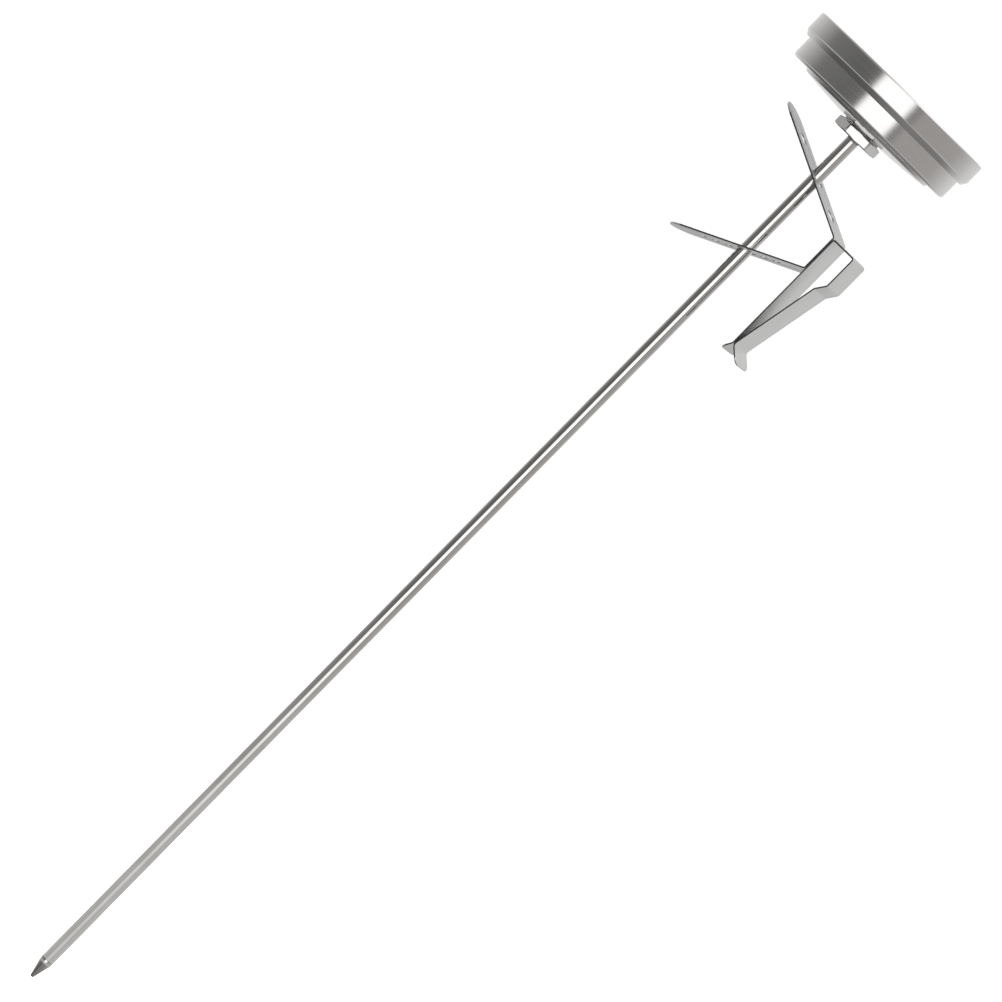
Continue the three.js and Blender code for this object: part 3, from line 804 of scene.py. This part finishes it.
def build_dial():
    """The sloped ring, and the dial, which is a shallow tray turned upside down."""
    foot = Vector((DIAL_SEEN_RADIUS, spacer_low.z))
    brow = Vector((BEZEL_OPENING, spacer_high.z))
    spacer = [
        foot,
        (SPACER_RADIUS, spacer_low.z),
        (SPACER_RADIUS, spacer_high.z),
        brow,
        brow.lerp(foot, 0.15),
        brow.lerp(foot, 0.95),
    ]
    ring = turned("dial_spacer_moulded", spacer, HEAD_SIDES, [0.05, 0.2, 0.2, 0.3, 0, 0])
    finish_piece(ring, grey_plastic, "case", "spacer_grey", "dial_spacer_ring")
    under = DIAL_TOP - DIAL_WALL
    inside = DIAL_RADIUS - DIAL_WALL
    tray = [
        (DIAL_HOLE_RADIUS, under),
        (inside, under),
        (inside, dial_low.z),
        (DIAL_RADIUS, dial_low.z),
        (DIAL_RADIUS, DIAL_TOP),
        (DIAL_RADIUS - 1.6, DIAL_TOP),
        (2, DIAL_TOP),
        (DIAL_HOLE_RADIUS, DIAL_TOP),
    ]
    plate = turned("dial_plate_pressed", tray, HEAD_SIDES, [0.05, 0.3, 0.05, 0.05, 0.8, 0, 0, 0.1])
    finish_piece(plate, dial_paint, "case", "dial_white", "dial_plate")


# ---------------------------------------------------------------- dial printing
SCALE_INNER = 16.9
SCALE_OUTER = 19.75
SCALE_TOP = 250
START_ANGLE = 226.1  # of the 0 mark, in degrees from 3 o'clock, at one of the pointer's stops
END_ANGLE = -44.6  # of the last mark, at the other stop
DEGREES_PER_UNIT = (START_ANGLE - END_ANGLE) / SCALE_TOP
LETTERING_RISE = 0.4  # the places of the figures below are measured from a centre this far under the axis
PRINT = 0.025  # thickness of the print
FIGURES = {
    "0": (-10.2, -11.2),
    "50": (-13.7, 2.4),
    "100": (-5.9, 12.8),
    "150": (5.4, 13.2),
    "200": (13.4, 2.7),
    "250": (9.1, -11.1),
}
FIGURE_HEIGHT = 2.56
FIGURE_STROKE = 0.34
SMALL_FIGURES = {"180": (12.6, 8.2), "220": (14.4, -3.4)}
SMALL_HEIGHT = 1.42
SMALL_STROKE = 0.19
SMALL_GAP = 0.2


def dial_angle(value):
    return math.radians(START_ANGLE - DEGREES_PER_UNIT * value)


def tick_shape(value):
    """One mark of the scale, from the inner circle outwards: long at 50s, middling at 10s, short at 5s."""
    if value % 50 == 0:
        outer, width = 19.7, 0.27
    elif value % 10 == 0:
        outer, width = 19.2, 0.19
    else:
        outer, width = 18.3, 0.17
    angle = dial_angle(value)
    along = Vector((math.cos(angle), math.sin(angle)))
    return ribbon([along * SCALE_INNER, along * outer], width)


def band_shape(low, high, inner, outer):
    steps = 40
    points = []
    for i in range(steps + 1):
        angle = dial_angle(low + (high - low) * i / steps)
        points.append((inner * math.cos(angle), inner * math.sin(angle)))
        points.append((outer * math.cos(angle), outer * math.sin(angle)))
    return points, [[2 * i, 2 * i + 1, 2 * i + 3, 2 * i + 2] for i in range(steps)]


# Centre lines of the figures, one unit high, drawn as a draughtsman's narrow lettering.
W = 0.47


def glyph(char):
    """(strokes, width) of one figure. A stroke is (points, closed)."""
    r = W / 2
    if char == "0":
        loop = arc_points(r, 1 - r, r, r, 0, 180, 12) + arc_points(r, r, r, r, 180, 360, 12)
        return [(loop, True)], W
    if char == "1":
        return [([(0, 0.80), (0.28, 1.0), (0.28, 0)], False)], 0.28
    if char == "2":
        return [(arc_points(r, 1 - r, r, r, 170, -30, 12) + [(0.0, 0), (W, 0)], False)], W
    if char == "5":
        bowl = arc_points(r, 0.31, r, 0.31, 118, -165, 18)
        return [([(W * 0.93, 1), (0.05, 1), (0.02, 0.52)] + bowl, False)], W
    if char == "8":
        upper = arc_points(r, 0.76, r * 0.9, 0.24, 0, 360, 20)[:-1]
        lower = arc_points(r, 0.26, r, 0.26, 0, 360, 20)[:-1]
        return [(upper, True), (lower, True)], W
    if char == "C":
        r = 0.29
        bow = arc_points(r, 1 - r, r, r, 10, 180, 12) + arc_points(r, r, r, r, 180, 350, 12)
        return [(bow, False)], 2 * r
    raise ValueError(char)


def number_shapes(text, centre, height, stroke, gap=0.3):
    """A number as strokes, centred on a point of the dial."""
    line = height - stroke
    widths = [glyph(c)[1] for c in text]
    total = sum(widths) + gap * (len(text) - 1)
    x = -total / 2
    shapes = []
    for char, width in zip(text, widths):
        for points, closed in glyph(char)[0]:
            middle = centre[1] + LETTERING_RISE
            placed = [(centre[0] + (x + u) * line, middle + (v - 0.5) * line) for u, v in points]
            shapes.append(ribbon(placed, stroke, closed))
        x += width + gap
    return shapes


def build_dial_print():
    bottom, top = DIAL_TOP, DIAL_TOP + PRINT
    band = slab("dial_hot_band", [band_shape(180, 220, SCALE_INNER, SCALE_OUTER)], bottom, top)
    finish_piece(band, band_ink, "case", "dial_white")
    marks = [tick_shape(value) for value in range(0, SCALE_TOP + 1, 5)]
    ticks = slab("dial_scale_marks", marks, bottom, top + PRINT)
    finish_piece(ticks, black_ink, "case", "dial_white")
    numerals = []
    for text, centre in FIGURES.items():
        numerals += number_shapes(text, centre, FIGURE_HEIGHT, FIGURE_STROKE)
    numerals += number_shapes("C", (0.45, 8.1), 2.85, 0.45)
    degree_sign = arc_points(-1.35, 9.4 + LETTERING_RISE, 0.38, 0.38, 0, 360, 24)[:-1]
    numerals.append(ribbon(degree_sign, 0.2, True))
    finish_piece(slab("dial_numerals", numerals, bottom, top), black_ink, "case", "dial_white")
    small = []
    for text, centre in SMALL_FIGURES.items():
        small += number_shapes(text, centre, SMALL_HEIGHT, SMALL_STROKE, SMALL_GAP)
    finish_piece(slab("dial_red_numerals", small, bottom, top), brick_ink, "case", "dial_white")


# ---------------------------------------------------------------- pointer
def build_pointer():
    """A painted sheet blade with softened edges, and a domed cap over its hub. It points to 3 o'clock."""
    tail, waist, neck, tip = 9.6, 1.65, 11, 18.4
    half_widths = [(-tail, -1.5), (waist, -0.9), (neck, -0.33), (tip, -0.16)]
    corners = half_widths + [(x, -y) for x, y in reversed(half_widths)]
    rounding = [0.12, 0, 0, 0.08, 0.08, 0, 0, 0.12]
    outline = [p for p, _ in fillet(corners, rounding, closed=True, steps=3)]
    hole = arc_points(0, 0, 0.5, 0.5, 0, 360, 24)[:-1]
    bm = edged_plate("blade", [outline, hole], pointer_high.z - pointer_low.z, 0.05)
    middle = (pointer_high.z + pointer_low.z) / 2
    for vert in bm.verts:
        vert.co = (STEM_X - vert.co.y, vert.co.x, middle + vert.co.z)
    bmesh.ops.recalc_face_normals(bm, faces=bm.faces)
    finish_piece(new_object("pointer_blade", bm), red_paint, "pointer", "pointer_red", "pointer")
    radius = (cap_high.x - cap_low.x) / 2
    profile = [(0, cap_low.z), (radius, cap_low.z), (radius, cap_high.z - 0.1), (0, cap_high.z)]
    cap = turned("pointer_cap_moulded", profile, CAP_SIDES, [0, 0.05, 0.22, 0], 6)
    finish_piece(cap, cream_plastic, "pointer", "cap_cream", "pointer_cap")


# ---------------------------------------------------------------- inner CAD nodes
def dress_inner_nodes():
    """The pieces inside keep their CAD shape and get a finish."""
    finishes = {
        "helix_anchor": brass,
        "bimetal_helix": spring_steel,
        "lower_guide_bush": brass,
        "middle_guide_bush": brass,
        "upper_guide_bush": brass,
        "lock_nut": turned_steel,
        "spring_washer": spring_steel,
        "back_seal": grey_rubber,
        "pointer_shaft": stem_steel,
        "helix_collar": brass,
        "pointer_bush": brass,
    }
    for node, made in finishes.items():
        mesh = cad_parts[node].data
        mesh.materials.clear()
        mesh.materials.append(made)


# ---------------------------------------------------------------- studio
FLOOR_RADIUS = 3000
FLOOR_DROP = 3  # below the stem's tip
KEY_LIGHT_OFFSET = Vector((-0.74, 0.06, 0.5))  # from the dial, in metres
KEY_LIGHT_SIZE = 0.55
KEY_LIGHT_ENERGY = 14.5


def build_camera():
    a = CAMERA_AZIMUTH
    away = Vector((math.sin(a), -math.cos(a), 0))
    side = Vector((math.cos(a), math.sin(a), 0))
    place = Vector((STEM_X, 0, CAMERA_Z)) + away * CAMERA_DISTANCE
    aim = Vector((STEM_X, 0, AIM_Z)) + side * AIM_SIDE
    forward = (aim - place).normalized()
    right = forward.cross(Vector((0, 0, 1))).normalized()
    up = right.cross(forward)
    turn = Matrix.Rotation(CAMERA_ROLL, 3, -forward)
    right, up = turn @ right, turn @ up
    data = bpy.data.cameras.new("camera")
    data.lens = CAMERA_LENS
    data.sensor_width = 36
    data.clip_start, data.clip_end = 0.05, 50
    camera = bpy.data.objects.new("camera", data)
    rotation = Matrix((right, up, -forward)).transposed()
    camera.matrix_world = Matrix.Translation(place * MM) @ rotation.to_4x4()
    bpy.context.scene.collection.objects.link(camera)
    bpy.context.scene.camera = camera


def build_floor():
    bm = bmesh.new()
    bmesh.ops.create_circle(bm, cap_ends=True, segments=96, radius=FLOOR_RADIUS)
    for vert in bm.verts:
        vert.co.z = TIP_Z - FLOOR_DROP
    floor = new_object("floor", bm)
    made, tree, shader = material("floor_pale")
    cloud = noise(tree, object_vector(tree), 2, 2)
    tint(tree, shader, cloud, (0.93, 0.93, 0.93), (0.95, 0.95, 0.95))
    shader.inputs["Roughness"].default_value = 0.9
    shader.inputs["Emission Color"].default_value = (1, 1, 1, 1)
    shader.inputs["Emission Strength"].default_value = 1.0
    floor.data.materials.append(made)
    floor.visible_glossy = False


def grey_ramp(tree, value, stops, warm_from=1.0, warm_to=0.0):
    """A ramp of greys over a value from 0 to 1, a little warm between two of its positions."""
    node = add(tree, "ValToRGB")
    elements = node.color_ramp.elements
    while len(elements) < len(stops):
        elements.new(0.5)
    for element, (position, grey) in zip(elements, stops):
        element.position = position
        warmth = 0.03 if warm_from < position < warm_to else 0
        element.color = (grey, grey * (1 - warmth), grey * (1 - 1.3 * warmth), 1)
    tree.links.new(value, node.inputs[0])
    return node.outputs[0]


# Degrees to the right of the camera, as seen from the object's axis, and the brightness of the panel there.
PANELS = [
    (-180, 0.42),
    (-155, 0.40),
    (-133, 0.34),
    (-113, 0.23),
    (-95, 0.12),
    (-50, 0.085),
    (-27, 0.09),
    (-21, 0.88),
    (18, 0.88),
    (23, 0.13),
    (29, 0.15),
    (34, 0.235),
    (96, 0.26),
    (136, 0.42),
    (180, 0.42),
]
WARM_PANELS = (0.58, 0.84)  # shares of the turn between which the panels are a little warm
CEILING = [(0.0, 0.22), (0.5, 0.56), (1.0, 0.92)]  # from the 12 o'clock side to the 6 o'clock side
PIT = [(0.0, 0.07), (1.0, 0.14)]
OFF_LEVEL_GREY = 0.38  # what the panels fade towards, above and below the level
OFF_LEVEL_SHARE = 0.8

# Parts of a direction of length 1 over which one thing gives way to another.
OFF_LEVEL_SPAN = (0.12, 0.34)
CEILING_SPAN = (0.45, 0.85)
PIT_SPAN = (0.3, 0.7)
SIX_OCLOCK_SPAN = (-0.32, 0.32)


def reflected_colour(tree):
    """What the steel reflects: upright panels round the object, a light ceiling and a dark pit."""
    split = add(tree, "SeparateXYZ")
    tree.links.new(add(tree, "TexCoord").outputs["Generated"], split.inputs[0])
    azimuth = math_node(tree, "ARCTAN2", split.outputs[1], split.outputs[0])
    from_camera = math_node(tree, "ADD", azimuth, math.pi / 2 - CAMERA_AZIMUTH)
    turns = math_node(tree, "ADD", math_node(tree, "DIVIDE", from_camera, 2 * math.pi), 1.5)
    stops = [((degrees + 180) / 360, grey) for degrees, grey in PANELS]
    panels = grey_ramp(tree, math_node(tree, "FRACT", turns), stops, *WARM_PANELS)
    off_level = smooth_range(tree, math_node(tree, "ABSOLUTE", split.outputs[2]), *OFF_LEVEL_SPAN)
    panels = mixed_colour(tree, scaled(tree, off_level, OFF_LEVEL_SHARE), panels, OFF_LEVEL_GREY)
    towards_six = smooth_range(tree, split.outputs[0], *SIX_OCLOCK_SPAN)
    ceiling = grey_ramp(tree, towards_six, CEILING, -1, 2)
    pit = grey_ramp(tree, towards_six, PIT)
    upwards = smooth_range(tree, split.outputs[2], *CEILING_SPAN)
    with_ceiling = mixed_colour(tree, upwards, panels, ceiling)
    downwards = smooth_range(tree, scaled(tree, split.outputs[2], -1), *PIT_SPAN)
    return mixed_colour(tree, downwards, with_ceiling, pit)


def background(tree, colour, strength):
    node = add(tree, "Background")
    if isinstance(colour, tuple):
        node.inputs[0].default_value = (*colour, 1)
    else:
        tree.links.new(colour, node.inputs[0])
    node.inputs[1].default_value = strength
    return node.outputs[0]


def build_world():
    """White behind the object, the light tent in its reflections, and a soft even light on its paints."""
    world = bpy.data.worlds.new("studio")
    bpy.context.scene.world = world
    world.use_nodes = True
    tree = world.node_tree
    tree.nodes.clear()
    paths = add(tree, "LightPath")
    seen = background(tree, (1, 0.995, 0.99), 0.06)
    layers = [("Is Glossy Ray", reflected_colour(tree), 2), ("Is Camera Ray", (1, 1, 1), 1.05)]
    for ray, colour, strength in layers:
        mix = add(tree, "MixShader")
        tree.links.new(paths.outputs[ray], mix.inputs[0])
        tree.links.new(seen, mix.inputs[1])
        tree.links.new(background(tree, colour, strength), mix.inputs[2])
        seen = mix.outputs[0]
    tree.links.new(seen, add(tree, "OutputWorld").inputs[0])


def build_light():
    """One soft panel above the 12 o'clock side, which shades the dial under the bezel's edge."""
    data = bpy.data.lights.new("key", "AREA")
    data.shape = "SQUARE"
    data.size = KEY_LIGHT_SIZE
    data.energy = KEY_LIGHT_ENERGY
    light = bpy.data.objects.new("key", data)
    target = Vector((STEM_X, 0, FRONT_Z)) * MM
    light.location = target + KEY_LIGHT_OFFSET
    light.rotation_mode = "QUATERNION"
    light.rotation_quaternion = (target - light.location).to_track_quat("-Z", "Y")
    light.visible_glossy = False
    bpy.context.scene.collection.objects.link(light)


build_bracket()
build_pan_clip()
build_stem()
build_nut()
build_case()
build_bezel()
build_window()
build_dial()
build_dial_print()
build_pointer()
dress_inner_nodes()
build_camera()
build_floor()
build_world()
build_light()
bpy.context.scene.view_settings.view_transform = "Standard"
